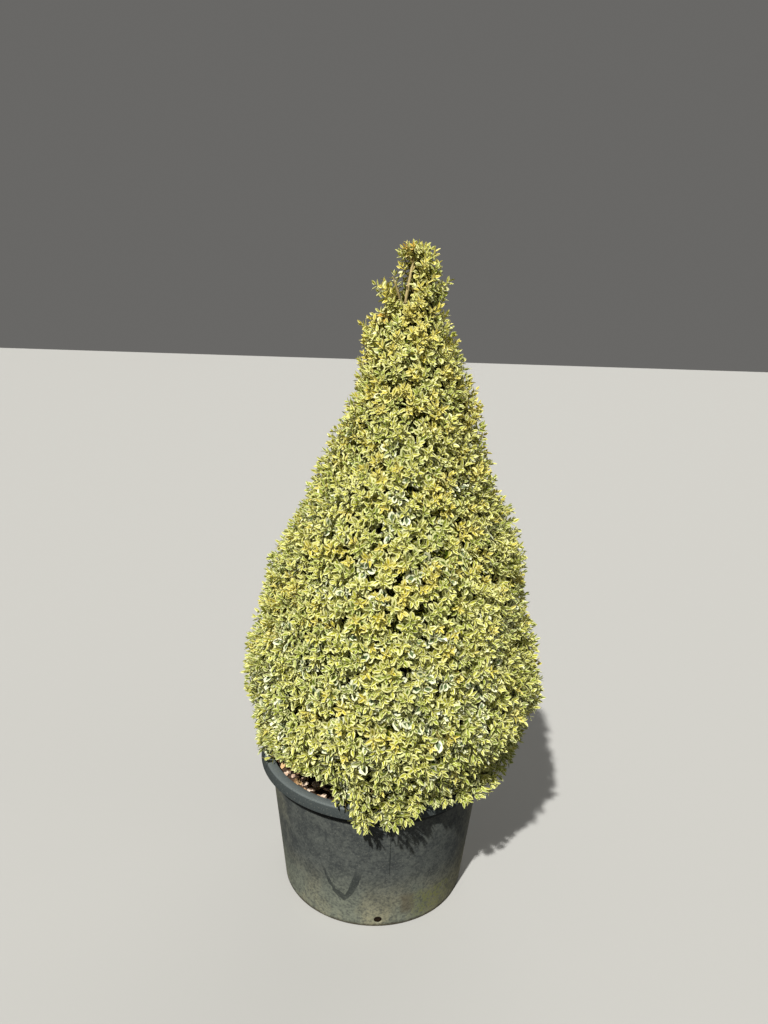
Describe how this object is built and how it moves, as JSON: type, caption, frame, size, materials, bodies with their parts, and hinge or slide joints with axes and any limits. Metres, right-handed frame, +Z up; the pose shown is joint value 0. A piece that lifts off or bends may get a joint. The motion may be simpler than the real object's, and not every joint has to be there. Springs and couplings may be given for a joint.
{
  "type": "variegated boxwood cone topiary in a nursery pot",
  "caption": "Clipped, slightly leaning box cone with small cream-edged leaves, grown on one trunk in a round black plastic nursery container, for patios and formal gardens.",
  "frame": {"origin": "middle of the pot's flat underside, on the ground", "axes": "+Z up; -Y towards the plant's front, where the skirt of leaves hangs over the rim; +X to the right seen from the front, the way the cone leans"},
  "size_m": [0.5927, 0.5972, 1.3043],
  "materials": {
    "pot_plastic": "moulded black plastic, weathered to dark grey with a green-yellow film low down",
    "soil": "potting mix with dry bark and old leaves on top",
    "bark": "pale tan, slightly furrowed box bark",
    "foliage": "small leathery leaves, grey-green in the middle with cream to yellow edges"
  },
  "bodies": {
    "root": {"pot": "pot_plastic", "soil": "soil", "trunk": "bark", "crown_skirt": "foliage", "crown_middle": "foliage", "crown_upper": "foliage", "crown_top": "foliage", "leader_sprays": "foliage"}
  },
  "joints": []
}
